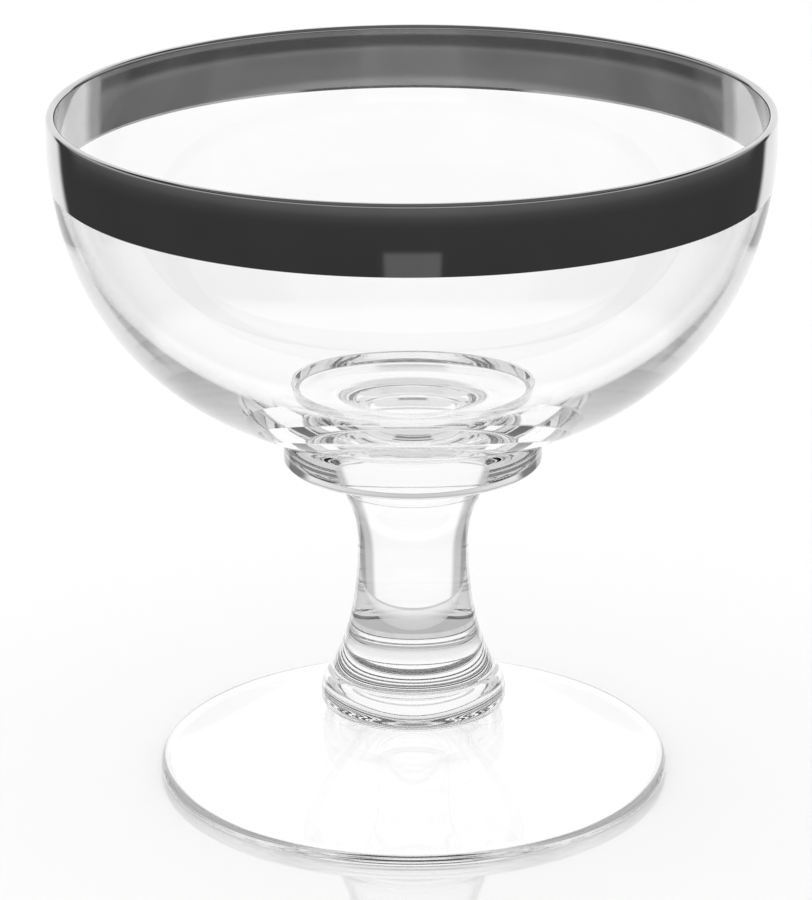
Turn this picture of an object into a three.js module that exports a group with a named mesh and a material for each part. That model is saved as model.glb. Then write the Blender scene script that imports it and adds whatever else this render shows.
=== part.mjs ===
// A stemmed sherbet glass: a round bowl with a fired metal band on its rim, a cushion-shaped collar,
// a solid waisted stem and a thin domed foot with a rounded button under the stem. Millimetres, +Z up.
// The origin is the centre of the ring that the foot stands on. Every piece is turned about the Z
// axis, and the pieces stack from the table up, so a longer stem or a deeper bowl lifts what stands
// on it.

import * as THREE from "three";

// Foot
const FOOT_RADIUS = 36.4;
const FOOT_EDGE_THICKNESS = 2.05; // fully rounded
const FOOT_SLOPE_RUN = 8.9; // how far the outer slope carries inwards
const FOOT_SLOPE_RISE = 2.35;
const FOOT_CROWN_RUN = 5; // how far the inner slope carries outwards, away from the button
const FOOT_CROWN_DROP = 1.6;
const REST_RING_INNER = 34.5; // the flat ring on the table, out to the edge's rounding
const FOOT_HOLLOW_HEIGHT = 7.6; // top of the dome under the foot
const FOOT_HOLLOW_REACH = 12; // how far the dome's top stays flat
const FOOT_HOLLOW_RAMP = 8.7; // how far its outer slope carries inwards
const FOOT_HOLLOW_RISE = 2.3; // how far that slope climbs

// Button on the foot, which the stem stands on
const BUTTON_HEIGHT = 4.5;
const BUTTON_RADIUS = 13.2;
const BUTTON_WIDEST_DROP = 2.9; // from the stem's joint to where the button is widest
const BUTTON_GROOVE_RADIUS = 12.5; // where the foot's slope meets it
const BUTTON_GROOVE_ROUND = 0.9;
const BUTTON_SHOULDER_RADIUS = 12.4; // the upper curve passes inside this corner
const BUTTON_SHOULDER_PULL = 1.6;

// Stem
const STEM_JOINT_HEIGHT = 14.7; // where the stem meets the foot
const STEM_JOINT_RADIUS = 11.2;
const STEM_LENGTH = 27.9;
const STEM_TOP_RADIUS = 9.9;
const STEM_WAIST_DROP = 7.7; // from the stem's top to its waist
const STEM_WAIST_RADIUS = 7.85;
const STEM_BASE_DEPTH = 0.8; // height of the rounded base
const STEM_BASE_RADIUS = 11.65;
const STEM_BASE_BULGE = 0.1;
const STEM_FLARE_RUN = 2.4; // direction in which the flare leaves the base
const STEM_FLARE_RISE = 4.9;
const STEM_WAIST_EASE = 9.6; // straight pull below the waist
const STEM_NECK_EASE = 3.6; // straight pull above the waist
const STEM_NECK_RUN = 0.5;
const STEM_NECK_RISE = 1.9;

// Collar
const COLLAR_THICKNESS = 7; // on the axis, from the stem to the bowl
const COLLAR_RADIUS = 18.3;
const COLLAR_EDGE_RADIUS = 18.2; // at the lower edge
const COLLAR_EDGE_RISE = 4; // from the stem's top to the lower edge
const COLLAR_EDGE_ROUND = 0.5;
const COLLAR_SIDE_PULL = 1.6; // how straight the side leaves the edge and meets the bowl
const COLLAR_NECK_RADIUS = 12.6; // where the neck above the stem ends in the flat underside
const COLLAR_NECK_RISE = 3.8;
const COLLAR_NECK_PULL = 1.6; // how straight the neck leaves the stem
const COLLAR_NECK_SPREAD = 0.2;
const COLLAR_NECK_CORNER = 1.8; // how far the neck's bend lies inside its end

// Bowl
const RIM_RADIUS = 49.9; // outside, glass only
const BOWL_HEIGHT = 47.7; // outside, from the bottom to the top of the lip
const LIP_WALL = 1;
const BELLY_RISE = 17.8; // above the bottom: where the wall's upper curve aims
const BELLY_SWELL = 1.3; // how far that aim lies outside the rim
const BOTTOM_REACH = 31; // how far out the flat of the bottom pulls the wall
const BOWL_BASE_WALL = 3.35; // glass under the middle of the hollow
const INSIDE_BELLY_RISE = 16.45; // above the hollow's bottom
const INSIDE_BOTTOM_REACH = 30.5;

// Metal band
const BAND_OUTSIDE_DEPTH = 9.5; // below the top of the lip
const BAND_INSIDE_DEPTH = 8.6;
const BAND_FILM = 0.12;

// How finely the curves are divided
const TURN_STEPS = 56;
const WALL_STEPS = 15;
const CURVE_STEPS = 6;
const HALF_ROUND_STEPS = 6;
const EDGE_STEPS = 4;

const CLEAR_GLASS = { color: 0xf2f5f4, roughness: 0.03, metalness: 0, transparent: true, opacity: 0.35 };
const PLATINUM_LUSTRE = { color: 0xb9b8b6, roughness: 0.08, metalness: 1 };

const stemTopHeight = STEM_JOINT_HEIGHT + STEM_LENGTH;
const bowlBottom = stemTopHeight + COLLAR_THICKNESS;
const hollowBottom = bowlBottom + BOWL_BASE_WALL;
const rimHeight = bowlBottom + BOWL_HEIGHT;

const at = (radius, height) => new THREE.Vector2(radius, height);
const reversed = (points) => [...points].reverse();

// Points along a cubic curve in the (radius, height) plane.
function sweep(from, pullFrom, pullTo, to, steps) {
  return new THREE.CubicBezierCurve(from, pullFrom, pullTo, to).getPoints(steps);
}

// Points of a circular arc, its angles counted from the outward direction.
function arc(centre, radius, fromAngle, toAngle, steps) {
  const points = [];
  for (let i = 0; i <= steps; i++) {
    const angle = THREE.MathUtils.lerp(fromAngle, toAngle, i / steps);
    points.push(at(centre.x + radius * Math.cos(angle), centre.y + radius * Math.sin(angle)));
  }
  return points;
}

// One path from several that follow each other, each shared point kept once.
function join(...paths) {
  return paths.flat().filter((point, i, all) => i === 0 || !point.equals(all[i - 1]));
}

// Divides a falling or narrowing path where its radius ("x") or height ("y") passes a value.
function divide(points, axis, value) {
  const next = points.findIndex((point) => point[axis] <= value);
  const a = points[next - 1];
  const b = points[next];
  const mark = a.clone().lerp(b, (a[axis] - value) / (a[axis] - b[axis]));
  return [[...points.slice(0, next), mark], [mark, ...points.slice(next)]];
}

// A path beside another, to the right of its direction of travel.
function offset(points, distance) {
  return points.map((point, i) => {
    const before = points[Math.max(i - 1, 0)];
    const after = points[Math.min(i + 1, points.length - 1)];
    const along = after.clone().sub(before).normalize();
    return at(point.x + along.y * distance, point.y - along.x * distance);
  });
}

// Turns an outline about the Z axis. Outlines run counter-clockwise in the (radius, height) plane.
function turned(name, outline, finish) {
  const geometry = new THREE.LatheGeometry(outline, TURN_STEPS);
  geometry.rotateX(Math.PI / 2);
  const mesh = new THREE.Mesh(geometry, new THREE.MeshStandardMaterial(finish));
  mesh.name = name;
  return mesh;
}

// The bowl's glass outline, which the collar and the band share with it
const lipRadius = LIP_WALL / 2;
const lipCentre = at(RIM_RADIUS - lipRadius, rimHeight - lipRadius);
const lip = arc(lipCentre, lipRadius, 0, Math.PI, HALF_ROUND_STEPS);
const outside = sweep(
  lip[0],
  at(RIM_RADIUS + BELLY_SWELL, bowlBottom + BELLY_RISE),
  at(BOTTOM_REACH, bowlBottom),
  at(0, bowlBottom),
  WALL_STEPS,
);
const inside = sweep(
  lip[HALF_ROUND_STEPS],
  at(lip[HALF_ROUND_STEPS].x + BELLY_SWELL, hollowBottom + INSIDE_BELLY_RISE),
  at(INSIDE_BOTTOM_REACH, hollowBottom),
  at(0, hollowBottom),
  WALL_STEPS,
);
const [bandedOutside, bareOutside] = divide(outside, "y", rimHeight - BAND_OUTSIDE_DEPTH);
const [bandedInside, bareInside] = divide(inside, "y", rimHeight - BAND_INSIDE_DEPTH);
const [flank, seat] = divide(bareOutside, "x", COLLAR_RADIUS);
const stemTop = at(STEM_TOP_RADIUS, stemTopHeight);
const stemJoint = at(STEM_JOINT_RADIUS, STEM_JOINT_HEIGHT);

function makeBowl() {
  const outsideUp = reversed(join(bandedOutside, flank, seat));
  return turned("bowl", join(outsideUp, lip, bandedInside, bareInside), CLEAR_GLASS);
}

// The band is a film that wraps the lip: its glass side is the bowl's own outline.
function makeBand() {
  const glassSide = join(reversed(bandedOutside), lip, bandedInside);
  const freeSide = offset(glassSide, BAND_FILM);
  return turned("rim_band", [...freeSide, ...reversed(glassSide), freeSide[0]], PLATINUM_LUSTRE);
}

// The collar's top is the stretch of the bowl's bottom that rests on it.
function makeCollar() {
  const edgeCentre = at(
    COLLAR_EDGE_RADIUS - COLLAR_EDGE_ROUND,
    stemTopHeight + COLLAR_EDGE_RISE + COLLAR_EDGE_ROUND,
  );
  const neckEnd = at(COLLAR_NECK_RADIUS, stemTopHeight + COLLAR_NECK_RISE);
  const neck = sweep(
    stemTop,
    at(stemTop.x + COLLAR_NECK_SPREAD, stemTopHeight + COLLAR_NECK_PULL),
    at(neckEnd.x - COLLAR_NECK_CORNER, neckEnd.y),
    neckEnd,
    CURVE_STEPS,
  );
  const slope = Math.atan2(COLLAR_EDGE_RISE - COLLAR_NECK_RISE, edgeCentre.x - neckEnd.x);
  const edge = arc(edgeCentre, COLLAR_EDGE_ROUND, slope - Math.PI / 2, 0, EDGE_STEPS);
  const side = sweep(
    edge[EDGE_STEPS],
    at(COLLAR_EDGE_RADIUS, edgeCentre.y + COLLAR_SIDE_PULL),
    at(COLLAR_RADIUS, seat[0].y - COLLAR_SIDE_PULL),
    seat[0],
    CURVE_STEPS,
  );
  return turned("collar", join([at(0, stemTopHeight)], neck, edge, side, seat), CLEAR_GLASS);
}

function makeStem() {
  const waist = at(STEM_WAIST_RADIUS, stemTopHeight - STEM_WAIST_DROP);
  const flareEnd = at(STEM_BASE_RADIUS, STEM_JOINT_HEIGHT + STEM_BASE_DEPTH);
  const base = sweep(
    stemJoint,
    at(STEM_BASE_RADIUS + STEM_BASE_BULGE, stemJoint.y),
    at(STEM_BASE_RADIUS + STEM_BASE_BULGE, flareEnd.y - STEM_BASE_BULGE),
    flareEnd,
    CURVE_STEPS,
  );
  const flare = sweep(
    flareEnd,
    at(flareEnd.x - STEM_FLARE_RUN, flareEnd.y + STEM_FLARE_RISE),
    at(waist.x, waist.y - STEM_WAIST_EASE),
    waist,
    CURVE_STEPS,
  );
  const neck = sweep(
    waist,
    at(waist.x, waist.y + STEM_NECK_EASE),
    at(stemTop.x - STEM_NECK_RUN, stemTop.y - STEM_NECK_RISE),
    stemTop,
    CURVE_STEPS,
  );
  const outline = join([at(0, stemJoint.y)], base, flare, neck, [at(0, stemTop.y)]);
  return turned("stem", outline, CLEAR_GLASS);
}

// From the groove round the button's widest to the stem's joint
function makeButtonSide(groove) {
  const widest = at(BUTTON_RADIUS, stemJoint.y - BUTTON_WIDEST_DROP);
  const under = sweep(
    groove,
    at(BUTTON_RADIUS, groove.y),
    at(BUTTON_RADIUS, widest.y - BUTTON_GROOVE_ROUND),
    widest,
    EDGE_STEPS,
  );
  const shoulder = sweep(
    widest,
    at(BUTTON_RADIUS, widest.y + BUTTON_SHOULDER_PULL),
    at(BUTTON_SHOULDER_RADIUS, stemJoint.y),
    stemJoint,
    CURVE_STEPS,
  );
  return join(under, shoulder);
}

function makeFoot() {
  const edgeRound = FOOT_EDGE_THICKNESS / 2;
  const edgeCentre = at(FOOT_RADIUS - edgeRound, edgeRound);
  const edge = arc(edgeCentre, edgeRound, -Math.PI / 2, Math.PI / 2, HALF_ROUND_STEPS);
  const hollow = sweep(
    at(0, FOOT_HOLLOW_HEIGHT),
    at(FOOT_HOLLOW_REACH, FOOT_HOLLOW_HEIGHT),
    at(REST_RING_INNER - FOOT_HOLLOW_RAMP, FOOT_HOLLOW_RISE),
    at(REST_RING_INNER, 0),
    CURVE_STEPS,
  );
  const groove = at(BUTTON_GROOVE_RADIUS, stemJoint.y - BUTTON_HEIGHT);
  const slope = sweep(
    edge[HALF_ROUND_STEPS],
    at(edgeCentre.x - FOOT_SLOPE_RUN, FOOT_EDGE_THICKNESS + FOOT_SLOPE_RISE),
    at(groove.x + FOOT_CROWN_RUN, groove.y - FOOT_CROWN_DROP),
    groove,
    WALL_STEPS,
  );
  const button = makeButtonSide(groove);
  const outline = join(hollow, edge, slope, button, [at(0, stemJoint.y)]);
  return turned("foot", outline, CLEAR_GLASS);
}

const glass = new THREE.Group();
glass.add(makeBowl(), makeBand(), makeCollar(), makeStem(), makeFoot());

export default glass;
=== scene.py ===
import math
import bmesh
import bpy
from mathutils import Matrix, Vector


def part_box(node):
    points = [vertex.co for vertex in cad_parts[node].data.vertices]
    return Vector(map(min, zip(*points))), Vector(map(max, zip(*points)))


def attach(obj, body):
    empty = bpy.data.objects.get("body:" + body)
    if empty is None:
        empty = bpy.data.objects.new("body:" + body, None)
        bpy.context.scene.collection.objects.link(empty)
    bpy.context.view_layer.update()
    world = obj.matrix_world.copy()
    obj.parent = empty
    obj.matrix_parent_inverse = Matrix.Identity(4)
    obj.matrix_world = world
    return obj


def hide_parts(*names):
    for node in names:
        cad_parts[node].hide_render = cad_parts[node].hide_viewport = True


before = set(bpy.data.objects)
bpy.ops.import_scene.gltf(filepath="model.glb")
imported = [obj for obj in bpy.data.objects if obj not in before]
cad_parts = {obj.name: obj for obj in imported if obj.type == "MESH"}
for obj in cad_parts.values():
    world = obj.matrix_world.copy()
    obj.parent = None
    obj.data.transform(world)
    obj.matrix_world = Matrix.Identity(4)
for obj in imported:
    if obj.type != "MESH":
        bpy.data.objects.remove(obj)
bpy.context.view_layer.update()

# Stemmed sherbet glass with a platinum band, on a pale studio sweep.
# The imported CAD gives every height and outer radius. Sizes in the dictionaries are in millimetres.
mm = 0.001


def sizeOf(node):
    low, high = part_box(node)
    return {"radius": high[0] / mm, "low": low[2] / mm, "high": high[2] / mm}


bowlSize, bandSize = sizeOf("bowl"), sizeOf("rim_band")
collarSize, stemSize, footSize = sizeOf("collar"), sizeOf("stem"), sizeOf("foot")


# Colours are written as sRGB hex and used as linear
def linear(hexColour):
    channels = [int(hexColour[i:i + 2], 16) / 255 for i in (1, 3, 5)]
    return tuple(c / 12.92 if c <= 0.04045 else ((c + 0.055) / 1.055) ** 2.4 for c in channels) + (1.0,)


# Adds one node: settings are its properties, links its inputs as plain values or other nodes' outputs
def addNode(tree, kind, settings=None, links=None):
    node = tree.nodes.new(kind)
    for name, value in (settings or {}).items():
        setattr(node, name, value)
    for name, value in (links or {}).items():
        if isinstance(value, bpy.types.NodeSocket):
            tree.links.new(value, node.inputs[name])
        else:
            node.inputs[name].default_value = value
    return node


# Camera: where the photograph was taken from, on a long lens
cameraPlan = {
    "distance": 533.7,  # in front of the glass's axis
    "height": 232.4,
    "sideways": -0.95,
    "pitch": 19.09,  # degrees down
    "roll": 0.2,
    "lens": 160.48,
    "frame": 36.0,  # the film's height
    "nearest": 10,  # nothing nearer is drawn
}


def placeCamera(plan):
    data = bpy.data.cameras.new("camera")
    data.sensor_fit = "VERTICAL"
    data.sensor_height = plan["frame"]
    data.lens = plan["lens"]
    data.clip_start = plan["nearest"] * mm
    camera = bpy.data.objects.new("camera", data)
    bpy.context.collection.objects.link(camera)
    place = Matrix.Translation(Vector((plan["sideways"], -plan["distance"], plan["height"])) * mm)
    tilt = Matrix.Rotation(math.radians(90 - plan["pitch"]), 4, "X")
    roll = Matrix.Rotation(math.radians(-plan["roll"]), 4, "Z")
    camera.matrix_world = place @ tilt @ roll
    bpy.context.scene.camera = camera


placeCamera(cameraPlan)
print("camera placed")


# World: a white studio with a dark room in front of the set
def onBothSides(panel):
    return [panel, {**panel, "azimuth": -panel["azimuth"]}]


# Each panel is a soft-edged patch of the surroundings. Azimuth counts from straight behind the
# glass, clockwise seen from above, and pitch from the horizon, both in degrees.
darkRoom = {"azimuth": 180, "half": 130, "low": -95, "high": 95, "edge": 8, "level": 0.72}
roomMiddle = {"azimuth": 180, "half": 38, "low": -27, "high": 45, "edge": 5, "level": 0.05}
studioPlan = {
    "white": 1.0,  # what the camera sees
    "bright": 1.05,  # what it sees through the glass or mirrored, before a look's panels
    "fill": 1.055,  # what lights the floor
    # A later look takes the place of an earlier one. "mirrored" and "crossed" say which light it
    # is for: how often it was turned back, and how many faces of glass it went through.
    "looks": [
        {"mirrored": (0, 0), "crossed": (1, 99), "panels": [  # straight through the glass
            {"azimuth": 0, "half": 200, "low": -99, "high": -46, "edge": 8, "level": 0.7},
        ]},
        {"mirrored": (0, 0), "crossed": (1, 2), "panels": [  # straight through collar, stem or foot
            *onBothSides({"azimuth": 47, "half": 9, "low": -70, "high": 40, "edge": 4, "level": 0.62}),
            *onBothSides({"azimuth": 67, "half": 13, "low": -70, "high": 40, "edge": 3, "level": 0.36}),
        ]},
        {"mirrored": (1, 99), "crossed": (1, 99), "panels": [  # turned back inside the glass
            darkRoom,
            roomMiddle,
        ]},
        {"mirrored": (2, 9), "crossed": (4, 99), "panels": [  # turned back below the bowl
            {**darkRoom, "low": -50},
            roomMiddle,
        ]},
        {"mirrored": (3, 9), "crossed": (1, 2), "panels": [  # led along the foot to its edge
            darkRoom,
            roomMiddle,
            {"azimuth": 0, "half": 70, "low": 20, "high": 60, "edge": 4, "level": 0.06},
            {"azimuth": 0, "half": 50, "low": -58, "high": -28, "edge": 4, "level": 0.15},
        ]},
        {"mirrored": (1, 1), "crossed": (1, 3), "panels": [  # turned back once
            {"azimuth": 180, "half": 135, "low": -95, "high": -3, "edge": 4, "level": 0.5},
            {"azimuth": 180, "half": 135, "low": -3, "high": 60, "edge": 4, "level": 0.24},
            {"azimuth": 180, "half": 126, "low": -15, "high": -3, "edge": 2, "level": 0.22},
            {"azimuth": 180, "half": 126, "low": -27, "high": -15, "edge": 1, "level": 0.09},
            {"azimuth": 0, "half": 48, "low": 2, "high": 14, "edge": 2, "level": 0.55},
        ]},
        {"mirrored": (14, 99), "crossed": (1, 99), "panels": [  # led along inside the bowl's wall
            {"azimuth": 180, "half": 150, "low": -95, "high": 95, "edge": 8, "level": 0.66},
            *onBothSides({"azimuth": 60, "half": 15, "low": -95, "high": 95, "edge": 28, "level": 0.27}),
        ]},
        {"mirrored": (1, 99), "crossed": (0, 0), "panels": [  # in the metal and the glass's gloss
            {"azimuth": 0, "half": 200, "low": 52, "high": 99, "edge": 3, "level": 0.16},
            {"azimuth": 180, "half": 144, "low": -40, "high": 52, "edge": 3, "level": 0.055},
            {"azimuth": 180, "half": 144, "low": 10, "high": 32, "edge": 3, "level": 0.5},
            {"azimuth": 180, "half": 130, "low": -12, "high": 8, "edge": 4, "level": 0.16},
            {"azimuth": 180, "half": 9, "low": -36, "high": -22.5, "edge": 0.8, "level": 0.17},
        ]},
    ],
}


def softStep(tree, value, middle, edge, rising):
    ends = (0.0, 1.0) if rising else (1.0, 0.0)
    step = addNode(tree, "ShaderNodeMapRange", {"interpolation_type": "SMOOTHSTEP"}, {
        "Value": value, "From Min": middle - edge, "From Max": middle + edge,
        "To Min": ends[0], "To Max": ends[1]})
    return step.outputs["Result"]


def times(tree, a, b):
    return addNode(tree, "ShaderNodeMath", {"operation": "MULTIPLY"}, {0: a, 1: b}).outputs[0]


def within(tree, count, span):
    # 1 where a whole number lies in the span
    middle, reach = (span[0] + span[1]) / 2, (span[1] - span[0]) / 2 + 0.5
    return addNode(tree, "ShaderNodeMath", {"operation": "COMPARE"}, {
        0: count, 1: middle, 2: reach}).outputs[0]


def mixed(tree, share, first, second):
    return addNode(tree, "ShaderNodeMix", {"data_type": "FLOAT"}, {
        "Factor": share, 2: first, 3: second}).outputs[0]


def withPanels(tree, level, panels, direction):
    # direction holds the azimuth and pitch sockets, in degrees
    azimuth, pitch = direction
    for panel in panels:
        turned = addNode(tree, "ShaderNodeMath", {"operation": "SUBTRACT"}, {
            0: azimuth, 1: float(panel["azimuth"])}).outputs[0]
        wrapped = addNode(tree, "ShaderNodeMath", {"operation": "WRAP"}, {
            0: turned, 1: 180.0, 2: -180.0}).outputs[0]
        away = addNode(tree, "ShaderNodeMath", {"operation": "ABSOLUTE"}, {0: wrapped}).outputs[0]
        edge = panel["edge"]
        across = softStep(tree, away, panel["half"], edge, False)
        above = softStep(tree, pitch, panel["low"], edge, True)
        below = softStep(tree, pitch, panel["high"], edge, False)
        mask = times(tree, across, times(tree, above, below))
        level = mixed(tree, mask, level, panel["level"])
    return level


def makeWorld(plan):
    world = bpy.data.worlds.new("studio")
    world.use_nodes = True
    tree = world.node_tree
    tree.nodes.clear()
    toward = addNode(tree, "ShaderNodeTexCoord").outputs["Generated"]
    axes = addNode(tree, "ShaderNodeSeparateXYZ", None, {"Vector": toward}).outputs
    turn = addNode(tree, "ShaderNodeMath", {"operation": "ARCTAN2"}, {0: axes["X"], 1: axes["Y"]}).outputs[0]
    azimuth = addNode(tree, "ShaderNodeMath", {"operation": "DEGREES"}, {0: turn}).outputs[0]
    rise = addNode(tree, "ShaderNodeMath", {"operation": "ARCSINE"}, {0: axes["Z"]}).outputs[0]
    pitch = addNode(tree, "ShaderNodeMath", {"operation": "DEGREES"}, {0: rise}).outputs[0]
    path = addNode(tree, "ShaderNodeLightPath").outputs
    level = plan["fill"]
    for look in plan["looks"]:
        mirrored = within(tree, path["Glossy Depth"], look["mirrored"])
        crossed = within(tree, path["Transmission Depth"], look["crossed"])
        seen = withPanels(tree, plan["bright"], look["panels"], (azimuth, pitch))
        level = mixed(tree, times(tree, mirrored, crossed), level, seen)
    # the floor is lit evenly, also from behind the glass
    level = mixed(tree, within(tree, path["Diffuse Depth"], (0, 0)), plan["fill"], level)
    level = mixed(tree, path["Is Camera Ray"], level, plan["white"])
    glow = addNode(tree, "ShaderNodeBackground", None, {"Color": (1, 1, 1, 1), "Strength": level})
    addNode(tree, "ShaderNodeOutputWorld", None, {"Surface": glow.outputs[0]})
    bpy.context.scene.world = world


makeWorld(studioPlan)
bpy.context.scene.view_settings.view_transform = "Standard"
# Light runs along inside the thick glass, turned back from wall to wall many times
bouncePlan = {"max_bounces": 60, "glossy_bounces": 48, "transmission_bounces": 24}
for limit, bounces in bouncePlan.items():
    setattr(bpy.context.scene.cycles, limit, bounces)

# Lamp: one wide soft box above and behind, to the left
lampPlan = {"width": 700, "place": (-350, 450, 800), "power": 0.6}


def hangLamp(plan):
    data = bpy.data.lights.new("softbox", "AREA")
    data.shape = "SQUARE"
    data.size = plan["width"] * mm
    data.energy = plan["power"]
    lamp = bpy.data.objects.new("softbox", data)
    bpy.context.collection.objects.link(lamp)
    lamp.location = Vector(plan["place"]) * mm
    lamp.rotation_euler = (-lamp.location).to_track_quat("-Z", "Y").to_euler()
    lamp.visible_camera = False
    lamp.visible_glossy = False
    lamp.visible_transmission = False


hangLamp(lampPlan)

# Floor: a pale acrylic sheet that fades into the white of the studio
floorPlan = {
    "radius": 1500, "steps": 96, "fadeFrom": 180, "fadeTo": 620,
    "colour": "#f6f6f6", "gloss": 0.28, "haze": 60, "smooth": 0.02, "hazy": 0.06,
}


def acrylicSweep(plan):
    # Acrylic sheet, cast and satin-polished: pale, with a faint soft reflection of what stands on
    # it, which doesn't grow much at a flat view
    material = bpy.data.materials.new("castAcrylic")
    material.use_nodes = True
    tree = material.node_tree
    tree.nodes.clear()
    place = addNode(tree, "ShaderNodeTexCoord").outputs["Object"]
    far = addNode(tree, "ShaderNodeVectorMath", {"operation": "LENGTH"}, {0: place}).outputs["Value"]
    fade = addNode(tree, "ShaderNodeMapRange", {"interpolation_type": "SMOOTHSTEP"}, {
        "Value": far, "From Min": plan["fadeFrom"] * mm, "From Max": plan["fadeTo"] * mm})
    haze = addNode(tree, "ShaderNodeTexNoise", None, {"Vector": place, "Scale": 1 / (plan["haze"] * mm)})
    blur = addNode(tree, "ShaderNodeMapRange", None, {
        "Value": haze.outputs[0], "To Min": plan["smooth"], "To Max": plan["hazy"]})
    body = addNode(tree, "ShaderNodeBsdfDiffuse", None, {"Color": linear(plan["colour"])})
    polish = addNode(tree, "ShaderNodeBsdfGlossy", None, {
        "Color": (1, 1, 1, 1), "Roughness": blur.outputs[0]})
    sheet = addNode(tree, "ShaderNodeMixShader", None, {
        0: plan["gloss"], 1: body.outputs[0], 2: polish.outputs[0]})
    clear = addNode(tree, "ShaderNodeBsdfTransparent")
    mix = addNode(tree, "ShaderNodeMixShader", None, {
        0: fade.outputs[0], 1: sheet.outputs[0], 2: clear.outputs[0]})
    addNode(tree, "ShaderNodeOutputMaterial", None, {"Surface": mix.outputs[0]})
    return material


def layFloor(plan):
    mesh = bpy.data.meshes.new("floor")
    work = bmesh.new()
    bmesh.ops.create_circle(work, cap_ends=True, radius=plan["radius"] * mm, segments=plan["steps"])
    work.to_mesh(mesh)
    work.free()
    floor = bpy.data.objects.new("floor", mesh)
    bpy.context.collection.objects.link(floor)
    mesh.materials.append(acrylicSweep(plan))
    floor.visible_glossy = False
    floor.visible_transmission = False


layFloor(floorPlan)
print("studio set")

# Glass: clear soda-lime or crystal, blown and pressed, then fire-polished, so it is smooth
# and bright with slow waves left by the tools
glassPlan = {
    "colour": "#fefefe", "thin": "#fbfbfb", "ior": 1.52, "roughest": 0.012,
    "wave": 14, "waveHeight": 0.004, "waveStrength": 0.25,
    "shadow": "#f8f8f8", "edgeShadow": "#b4b4b4", "edgeBlend": 0.35,
}


def fireGlass(plan, name):
    material = bpy.data.materials.new(name)
    material.use_nodes = True
    tree = material.node_tree
    tree.nodes.clear()
    place = addNode(tree, "ShaderNodeTexCoord").outputs["Object"]
    cloud = addNode(tree, "ShaderNodeTexNoise", None, {"Vector": place, "Scale": 1 / (plan["wave"] * mm)})
    tint = addNode(tree, "ShaderNodeMix", {"data_type": "RGBA"}, {
        "Factor": cloud.outputs[0], 6: linear(plan["colour"]), 7: linear(plan["thin"])})
    polish = addNode(tree, "ShaderNodeMapRange", None, {
        "Value": cloud.outputs[0], "To Min": 0.0, "To Max": plan["roughest"]})
    wave = addNode(tree, "ShaderNodeBump", None, {
        "Height": cloud.outputs[0], "Strength": plan["waveStrength"],
        "Distance": plan["waveHeight"] * mm})
    glass = addNode(tree, "ShaderNodeBsdfPrincipled", None, {
        "Base Color": tint.outputs[2], "Roughness": polish.outputs[0], "Normal": wave.outputs[0],
        "Transmission Weight": 1.0, "IOR": plan["ior"]})
    # Lamps shine through: a shadow of clear glass is faint, darker where its wall is seen on edge
    edge = addNode(tree, "ShaderNodeLayerWeight", None, {"Blend": plan["edgeBlend"]}).outputs["Facing"]
    shade = addNode(tree, "ShaderNodeMix", {"data_type": "RGBA"}, {
        "Factor": edge, 6: linear(plan["shadow"]), 7: linear(plan["edgeShadow"])})
    through = addNode(tree, "ShaderNodeBsdfTransparent", None, {"Color": shade.outputs[2]})
    path = addNode(tree, "ShaderNodeLightPath").outputs
    mix = addNode(tree, "ShaderNodeMixShader", None, {
        0: path["Is Shadow Ray"], 1: glass.outputs[0], 2: through.outputs[0]})
    addNode(tree, "ShaderNodeOutputMaterial", None, {"Surface": mix.outputs[0]})
    return material


def fusedJoint():
    # Two gathers of hot glass become one, so light crosses the joint without bending
    material = bpy.data.materials.new("fusedJoint")
    material.use_nodes = True
    tree = material.node_tree
    tree.nodes.clear()
    through = addNode(tree, "ShaderNodeBsdfTransparent")
    addNode(tree, "ShaderNodeOutputMaterial", None, {"Surface": through.outputs[0]})
    return material


# Platinum lustre: a bright metal film fired onto the glass, mirror-smooth with faint smudges
lustrePlan = {"colour": "#d6d6d6", "worn": "#c0c0c0", "smudge": 9, "smooth": 0.02, "rough": 0.1}


def platinumLustre(plan):
    material = bpy.data.materials.new("platinumLustre")
    material.use_nodes = True
    tree = material.node_tree
    tree.nodes.clear()
    place = addNode(tree, "ShaderNodeTexCoord").outputs["Object"]
    smudge = addNode(tree, "ShaderNodeTexNoise", None, {"Vector": place, "Scale": 1 / (plan["smudge"] * mm)})
    colour = addNode(tree, "ShaderNodeMix", {"data_type": "RGBA"}, {
        "Factor": smudge.outputs[0], 6: linear(plan["colour"]), 7: linear(plan["worn"])})
    gloss = addNode(tree, "ShaderNodeMapRange", None, {
        "Value": smudge.outputs[0], "To Min": plan["smooth"], "To Max": plan["rough"]})
    metal = addNode(tree, "ShaderNodeBsdfPrincipled", None, {
        "Base Color": colour.outputs[2], "Roughness": gloss.outputs[0], "Metallic": 1.0})
    addNode(tree, "ShaderNodeOutputMaterial", None, {"Surface": metal.outputs[0]})
    return material


# Kinds of stretch in an outline: it ripples, stays true, or is a joint inside the glass
rippled, keptTrue, fused = 0.0, 0.5, 1.0
samePlace = 1e-6  # two points nearer than this, in millimetres, are one
weldReach = 1e-7  # the same on the turned mesh, in metres
almostFused = 0.99  # a face counts as a joint when its points come to more than this


# Outlines are lists of (radius, height), counter-clockwise, from the axis back to the axis
def bend(start, pullStart, pullEnd, end, steps):
    points = []
    for i in range(steps + 1):
        t = i / steps
        s = 1 - t
        weights = (s ** 3, 3 * s * s * t, 3 * s * t * t, t ** 3)
        corners = (start, pullStart, pullEnd, end)
        points.append(tuple(sum(w * c[axis] for w, c in zip(weights, corners)) for axis in (0, 1)))
    return points


def arc(centre, radius, fromAngle, toAngle, steps):
    points = []
    for i in range(steps + 1):
        angle = math.radians(fromAngle + (toAngle - fromAngle) * i / steps)
        points.append((centre[0] + radius * math.cos(angle), centre[1] + radius * math.sin(angle)))
    return points


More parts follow.
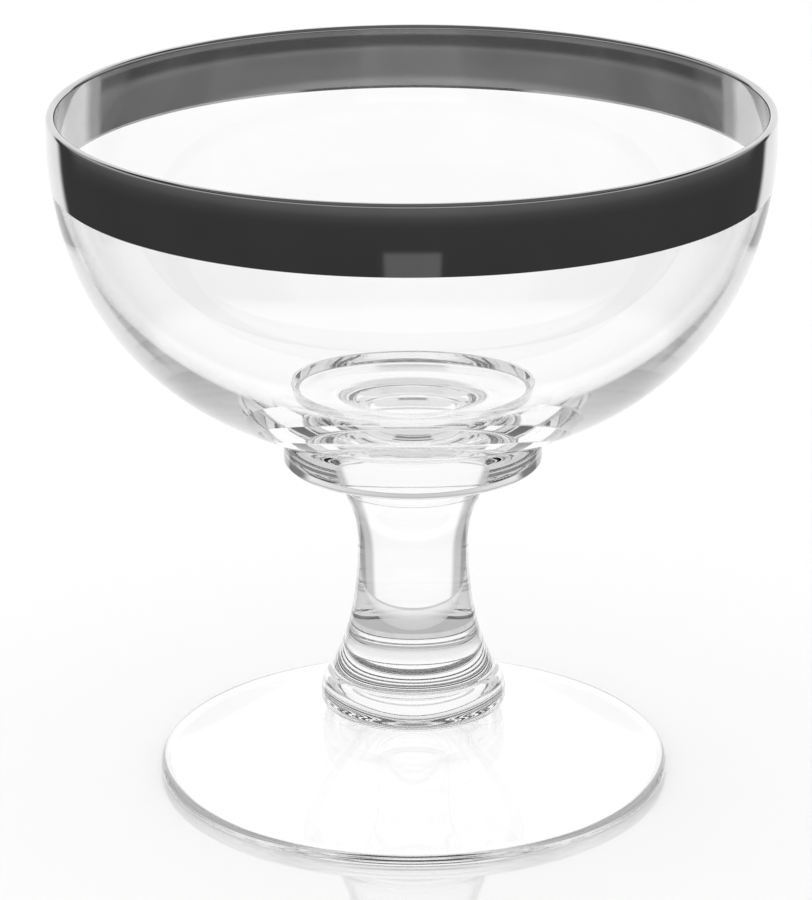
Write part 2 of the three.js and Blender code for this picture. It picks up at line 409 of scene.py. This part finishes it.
def straight(start, end, steps):
    return [tuple(a + (b - a) * i / steps for a, b in zip(start, end)) for i in range(steps + 1)]


def divide(points, axis, value):
    # cuts a falling or narrowing path where its radius (0) or height (1) passes a value
    after = next(i for i, p in enumerate(points) if p[axis] <= value)
    a, b = points[after - 1], points[after]
    share = (a[axis] - value) / (a[axis] - b[axis])
    mark = tuple(p + (q - p) * share for p, q in zip(a, b))
    return points[:after] + [mark], [mark] + points[after:]


def joined(*paths):
    # every path is (points, kind), and a point that two of them share takes the freer kind
    outline = []
    for points, kind in paths:
        for point in points:
            if outline and math.dist(outline[-1][0], point) < samePlace:
                outline[-1] = (point, min(outline[-1][1], kind))
            else:
                outline.append((point, kind))
    return outline


# Geometry Nodes: turns an outline about the Z axis, as on a glass-blower's bench
def turningTree():
    tree = bpy.data.node_groups.new("turnedOutline", "GeometryNodeTree")
    face = tree.interface
    face.new_socket("Outline", in_out="INPUT", socket_type="NodeSocketGeometry")
    for name, kind, value in (
        ("Steps Round", "NodeSocketInt", 192),
        ("Weld", "NodeSocketFloat", weldReach),
        ("Ripple Height", "NodeSocketFloat", 0.0),
        ("Ripple Length", "NodeSocketFloat", 0.02),
        ("Seed", "NodeSocketFloat", 0.0),
    ):
        face.new_socket(name, in_out="INPUT", socket_type=kind).default_value = value
    face.new_socket("Finish", in_out="INPUT", socket_type="NodeSocketMaterial")
    face.new_socket("Joint", in_out="INPUT", socket_type="NodeSocketMaterial")
    face.new_socket("Turned", in_out="OUTPUT", socket_type="NodeSocketGeometry")
    given = addNode(tree, "NodeGroupInput").outputs
    size = addNode(tree, "GeometryNodeAttributeDomainSize", None, {"Geometry": given["Outline"]})
    rows = size.outputs["Point Count"]
    stepsPlusOne = addNode(tree, "ShaderNodeMath", {"operation": "ADD"}, {0: given["Steps Round"], 1: 1.0})
    grid = addNode(tree, "GeometryNodeMeshGrid", None, {
        "Vertices X": stepsPlusOne.outputs[0], "Vertices Y": rows})
    index = addNode(tree, "GeometryNodeInputIndex").outputs[0]
    column = addNode(tree, "ShaderNodeMath", {"operation": "DIVIDE"}, {0: index, 1: rows}).outputs[0]
    column = addNode(tree, "ShaderNodeMath", {"operation": "FLOOR"}, {0: column}).outputs[0]
    row = addNode(tree, "ShaderNodeMath", {"operation": "FLOORED_MODULO"}, {0: index, 1: rows}).outputs[0]
    place = addNode(tree, "GeometryNodeInputPosition").outputs[0]
    onOutline = addNode(tree, "GeometryNodeSampleIndex", {"data_type": "FLOAT_VECTOR", "domain": "POINT"}, {
        "Geometry": given["Outline"], "Value": place, "Index": row})
    flat = addNode(tree, "ShaderNodeSeparateXYZ", None, {0: onOutline.outputs[0]}).outputs
    turn = addNode(tree, "ShaderNodeMath", {"operation": "DIVIDE"}, {0: column, 1: given["Steps Round"]})
    angle = addNode(tree, "ShaderNodeMath", {"operation": "MULTIPLY"}, {0: turn.outputs[0], 1: math.tau})
    cosine = addNode(tree, "ShaderNodeMath", {"operation": "COSINE"}, {0: angle.outputs[0]}).outputs[0]
    sine = addNode(tree, "ShaderNodeMath", {"operation": "SINE"}, {0: angle.outputs[0]}).outputs[0]
    spun = addNode(tree, "ShaderNodeCombineXYZ", None, {
        "X": times(tree, flat["X"], cosine), "Y": times(tree, flat["X"], sine), "Z": flat["Z"]})
    spunGrid = addNode(tree, "GeometryNodeSetPosition", None, {
        "Geometry": grid.outputs["Mesh"], "Position": spun.outputs[0]})
    drawn = addNode(tree, "GeometryNodeInputNamedAttribute", {"data_type": "FLOAT"}, {"Name": "fused"})
    drawnHere = addNode(tree, "GeometryNodeSampleIndex", {"data_type": "FLOAT", "domain": "POINT"}, {
        "Geometry": given["Outline"], "Value": drawn.outputs["Attribute"], "Index": row})
    kept = addNode(tree, "GeometryNodeStoreNamedAttribute", {"data_type": "FLOAT", "domain": "POINT"}, {
        "Geometry": spunGrid.outputs[0], "Name": "fused", "Value": drawnHere.outputs[0]})
    welded = addNode(tree, "GeometryNodeMergeByDistance", None, {
        "Geometry": kept.outputs[0], "Distance": given["Weld"]})
    # slow ripples along the surface, none at the joints or where it is kept true
    pitch = addNode(tree, "ShaderNodeMath", {"operation": "DIVIDE"}, {0: 1.0, 1: given["Ripple Length"]})
    noise = addNode(tree, "ShaderNodeTexNoise", {"noise_dimensions": "4D"}, {
        "W": given["Seed"], "Scale": pitch.outputs[0], "Detail": 0.0})
    level = addNode(tree, "ShaderNodeMath", {"operation": "SUBTRACT"}, {0: noise.outputs[0], 1: 0.5})
    fusedNow = addNode(tree, "GeometryNodeInputNamedAttribute", {"data_type": "FLOAT"}, {"Name": "fused"})
    free = addNode(tree, "ShaderNodeMath", {"operation": "MULTIPLY_ADD", "use_clamp": True}, {
        0: fusedNow.outputs["Attribute"], 1: -1 / keptTrue, 2: 1.0})
    height = times(tree, times(tree, level.outputs[0], given["Ripple Height"]), free.outputs[0])
    outward = addNode(tree, "GeometryNodeInputNormal").outputs[0]
    push = addNode(tree, "ShaderNodeVectorMath", {"operation": "SCALE"}, {0: outward, "Scale": height})
    rippled = addNode(tree, "GeometryNodeSetPosition", None, {
        "Geometry": welded.outputs[0], "Offset": push.outputs["Vector"]})
    smooth = addNode(tree, "GeometryNodeSetShadeSmooth", None, {"Geometry": rippled.outputs[0]})
    whole = addNode(tree, "GeometryNodeRealizeInstances", None, {"Geometry": smooth.outputs[0]})
    finished = addNode(tree, "GeometryNodeSetMaterial", None, {
        "Geometry": whole.outputs[0], "Material": given["Finish"]})
    hidden = addNode(tree, "FunctionNodeCompare", {"data_type": "FLOAT", "operation": "GREATER_THAN"}, {
        "A": fusedNow.outputs["Attribute"], "B": almostFused})
    joint = addNode(tree, "GeometryNodeSetMaterial", None, {
        "Geometry": finished.outputs[0], "Selection": hidden.outputs[0], "Material": given["Joint"]})
    addNode(tree, "NodeGroupOutput", None, {"Turned": joint.outputs[0]})
    return tree


turning = turningTree()


def turnPiece(name, node, outline, finish, joint, plan):
    # the outline goes in as a line of points, and the finished piece comes out as one plain mesh
    ripple = plan["ripple"]
    mesh = bpy.data.meshes.new(name + "Outline")
    mesh.from_pydata([(r * mm, 0.0, z * mm) for (r, z), kind in outline],
                     [(i, i + 1) for i in range(len(outline) - 1)], [])
    marks = mesh.attributes.new("fused", "FLOAT", "POINT")
    for mark, (point, kind) in zip(marks.data, outline):
        mark.value = kind
    former = bpy.data.objects.new(name + "Former", mesh)
    bpy.context.collection.objects.link(former)
    modifier = former.modifiers.new("turned", "NODES")
    modifier.node_group = turning
    sockets = {s.name: s.identifier for s in turning.interface.items_tree if s.in_out == "INPUT"}
    for socket, value in (
        ("Steps Round", plan["stepsRound"]), ("Ripple Height", ripple["height"] * mm),
        ("Ripple Length", ripple["length"] * mm), ("Seed", ripple["seed"]),
        ("Finish", finish), ("Joint", joint),
    ):
        modifier[sockets[socket]] = value
    bpy.context.view_layer.update()
    shaped = former.evaluated_get(bpy.context.evaluated_depsgraph_get())
    turned = bpy.data.meshes.new_from_object(shaped)
    former.modifiers.remove(modifier)
    bpy.data.objects.remove(former)
    work = bmesh.new()
    work.from_mesh(turned)
    bmesh.ops.remove_doubles(work, verts=work.verts, dist=weldReach)
    bmesh.ops.recalc_face_normals(work, faces=work.faces)
    work.to_mesh(turned)
    work.free()
    piece = bpy.data.objects.new(name, turned)
    bpy.context.collection.objects.link(piece)
    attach(piece, "root")
    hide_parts(node)
    return piece


clearGlass = fireGlass(glassPlan, "fireGlass")
jointGlass = fusedJoint()

# Bowl
bowlPlan = {
    "lipWall": 1.0, "rimInset": 0.06, "bellyRise": 17.8, "bellySwell": 1.3, "bottomReach": 31.0,
    "baseWall": 3.35, "insideRise": 16.45, "insideReach": 30.5, "wallSteps": 72, "lipSteps": 16,
    "stepsRound": 256, "ripple": {"height": 0.03, "length": 16, "seed": 3.0},
}


def bowlPaths(plan, size):
    lipRadius = plan["lipWall"] / 2
    rim = size["radius"] - plan["rimInset"]
    centre = (rim - lipRadius, size["high"] - lipRadius)
    lip = arc(centre, lipRadius, 0, 180, plan["lipSteps"])
    outside = bend(
        lip[0], (rim + plan["bellySwell"], size["low"] + plan["bellyRise"]),
        (plan["bottomReach"], size["low"]), (0, size["low"]), plan["wallSteps"])
    floor = size["low"] + plan["baseWall"]
    inside = bend(
        lip[-1], (lip[-1][0] + plan["bellySwell"], floor + plan["insideRise"]),
        (plan["insideReach"], floor), (0, floor), plan["wallSteps"])
    return lip, outside, inside


lip, outside, inside = bowlPaths(bowlPlan, bowlSize)
flank, seat = divide(outside, 0, collarSize["radius"])
bowlOutline = joined((seat[::-1], fused), (flank[::-1], rippled), (lip, rippled), (inside, rippled))
bowl = turnPiece("bowlGlass", "bowl", bowlOutline, clearGlass, jointGlass, bowlPlan)
print("bowl turned")

# Band: follows the lip, a hair off the glass
bandPlan = {
    "gap": 0.01, "insideRise": 0.6, "endStep": 0.03,
    "stepsRound": 256, "ripple": {"height": 0.0, "length": 16, "seed": 3.0},
}


def filmOutline(glassSide, near, far):
    sides = []
    for distance in (far, near):
        side = []
        for i, point in enumerate(glassSide):
            before = glassSide[max(i - 1, 0)]
            after = glassSide[min(i + 1, len(glassSide) - 1)]
            length = math.dist(before, after)
            along = ((after[0] - before[0]) / length, (after[1] - before[1]) / length)
            side.append((point[0] + along[1] * distance, point[1] - along[0] * distance))
        sides.append(side)
    return sides[0] + sides[1][::-1] + sides[0][:1]


def banded(side, end, step):
    # one point more near the end keeps the smooth shading flat up to it
    kept = divide(side, 1, end)[0]
    return divide(kept, 1, end + step)[0] + kept[-1:]


bandedOutside = banded(outside, bandSize["low"], bandPlan["endStep"])
bandedInside = banded(inside, bandSize["low"] + bandPlan["insideRise"], bandPlan["endStep"])
filmThickness = bandSize["radius"] - bowlSize["radius"]
film = filmOutline(bandedOutside[::-1] + lip[1:-1] + bandedInside, bandPlan["gap"], filmThickness)
band = turnPiece(
    "platinumBand", "rim_band", joined((film, rippled)), platinumLustre(lustrePlan), jointGlass, bandPlan)
print("band laid")

# Collar
collarPlan = {
    "edgeRadius": 18.2, "edgeRise": 4.0, "edgeRound": 0.5, "sidePull": 1.6, "stemRadius": 9.9,
    "shelfRadius": 12.6, "shelfRise": 3.8, "neckRun": 0.2, "neckRise": 1.6, "shelfRun": 0.9,
    "edgeSteps": 14, "curveSteps": 24, "flatSteps": 12,
    "stepsRound": 192, "ripple": {"height": 0.02, "length": 9, "seed": 8.0},
}


def collarOutline(plan, size):
    low = size["low"]
    centre = (plan["edgeRadius"] - plan["edgeRound"], low + plan["edgeRise"] + plan["edgeRound"])
    slope = math.degrees(math.atan2(plan["edgeRise"] - plan["shelfRise"], centre[0] - plan["shelfRadius"]))
    edge = arc(centre, plan["edgeRound"], slope - 90, 0, plan["edgeSteps"])
    side = bend(
        edge[-1], (plan["edgeRadius"], centre[1] + plan["sidePull"]),
        (size["radius"], seat[0][1] - plan["sidePull"]), seat[0], plan["curveSteps"])
    shelf = (plan["shelfRadius"], low + plan["shelfRise"])
    neck = bend(
        (plan["stemRadius"], low), (plan["stemRadius"] + plan["neckRun"], low + plan["neckRise"]),
        (plan["stemRadius"] + plan["shelfRun"], shelf[1]), shelf, plan["curveSteps"])
    underside = neck + straight(shelf, edge[0], plan["flatSteps"])[1:]
    onStem = straight((0, low), (plan["stemRadius"], low), plan["flatSteps"])
    return joined(
        (onStem, fused), (underside, rippled), (edge, rippled), (side, rippled), (seat, fused))


collar = turnPiece(
    "collarGlass", "collar", collarOutline(collarPlan, collarSize), clearGlass, jointGlass, collarPlan)
print("collar turned")

# Stem
stemPlan = {
    "topRadius": collarPlan["stemRadius"], "jointRadius": 11.2, "waistDrop": 7.7, "waistRadius": 7.85,
    "baseDepth": 0.8, "baseRadius": 11.65, "baseBulge": 0.1, "flareRun": 2.4, "flareRise": 4.9,
    "waistEase": 9.6, "neckEase": 3.6, "neckRun": 0.5, "neckRise": 1.9,
    "baseSteps": 20, "flareSteps": 36, "neckSteps": 24, "flatSteps": 12,
    "stepsRound": 192, "ripple": {"height": 0.02, "length": 9, "seed": 5.0},
}


def stemOutline(plan, size):
    top, low = size["high"], size["low"]
    waist = (plan["waistRadius"], top - plan["waistDrop"])
    flareEnd = (plan["baseRadius"], low + plan["baseDepth"])
    full = plan["baseRadius"] + plan["baseBulge"]
    base = bend(
        (plan["jointRadius"], low), (full, low), (full, flareEnd[1] - plan["baseBulge"]), flareEnd,
        plan["baseSteps"])
    flare = bend(
        flareEnd, (flareEnd[0] - plan["flareRun"], flareEnd[1] + plan["flareRise"]),
        (waist[0], waist[1] - plan["waistEase"]), waist, plan["flareSteps"])
    neck = bend(
        waist, (waist[0], waist[1] + plan["neckEase"]),
        (plan["topRadius"] - plan["neckRun"], top - plan["neckRise"]), (plan["topRadius"], top),
        plan["neckSteps"])
    onFoot = straight((0, low), base[0], plan["flatSteps"])
    underCollar = straight(neck[-1], (0, top), plan["flatSteps"])
    return joined(
        (onFoot, fused), (base, rippled), (flare, rippled), (neck, rippled), (underCollar, fused))


stem = turnPiece(
    "stemGlass", "stem", stemOutline(stemPlan, stemSize), clearGlass, jointGlass, stemPlan)
print("stem turned")

# Foot
footPlan = {
    "edgeThickness": 2.05, "slopeRun": 8.9, "slopeRise": 2.35,
    "crownRun": 5.0, "crownDrop": 1.6, "ringInner": 34.5,
    "hollowHeight": 7.6, "hollowReach": 12.0, "hollowRamp": 8.7, "hollowRise": 2.3,
    "buttonHeight": 4.5, "buttonRadius": 13.2, "widestDrop": 2.9, "grooveRadius": 12.5,
    "grooveRound": 0.9, "shoulderRadius": 12.4, "shoulderPull": 1.6,
    "edgeSteps": 20, "hollowSteps": 60, "ringSteps": 3, "slopeSteps": 72, "buttonSteps": 24,
    "flatSteps": 12,
    "stepsRound": 256, "ripple": {"height": 0.012, "length": 14, "seed": 2.0},
}


def footOutline(plan, size):
    half = plan["edgeThickness"] / 2
    centre = (size["radius"] - half, half)
    edge = arc(centre, half, -90, 90, plan["edgeSteps"])
    joint = (stemPlan["jointRadius"], size["high"])
    hollow = bend(
        (0, plan["hollowHeight"]), (plan["hollowReach"], plan["hollowHeight"]),
        (plan["ringInner"] - plan["hollowRamp"], plan["hollowRise"]), (plan["ringInner"], 0),
        plan["hollowSteps"])
    ring = straight((plan["ringInner"], 0), edge[0], plan["ringSteps"])
    groove = (plan["grooveRadius"], joint[1] - plan["buttonHeight"])
    full = plan["buttonRadius"]
    widest = (full, joint[1] - plan["widestDrop"])
    slope = bend(
        edge[-1], (centre[0] - plan["slopeRun"], edge[-1][1] + plan["slopeRise"]),
        (groove[0] + plan["crownRun"], groove[1] - plan["crownDrop"]), groove, plan["slopeSteps"])
    under = bend(
        groove, (full, groove[1]), (full, widest[1] - plan["grooveRound"]), widest, plan["buttonSteps"])
    shoulder = bend(
        widest, (full, widest[1] + plan["shoulderPull"]), (plan["shoulderRadius"], joint[1]), joint,
        plan["buttonSteps"])
    underStem = straight(joint, (0, joint[1]), plan["flatSteps"])
    return joined(
        (hollow, keptTrue), (ring, keptTrue), (edge, keptTrue), (slope, rippled),
        (under, rippled), (shoulder, rippled), (underStem, fused))


foot = turnPiece(
    "footGlass", "foot", footOutline(footPlan, footSize), clearGlass, jointGlass, footPlan)
print("foot turned")

bpy.context.view_layer.update()
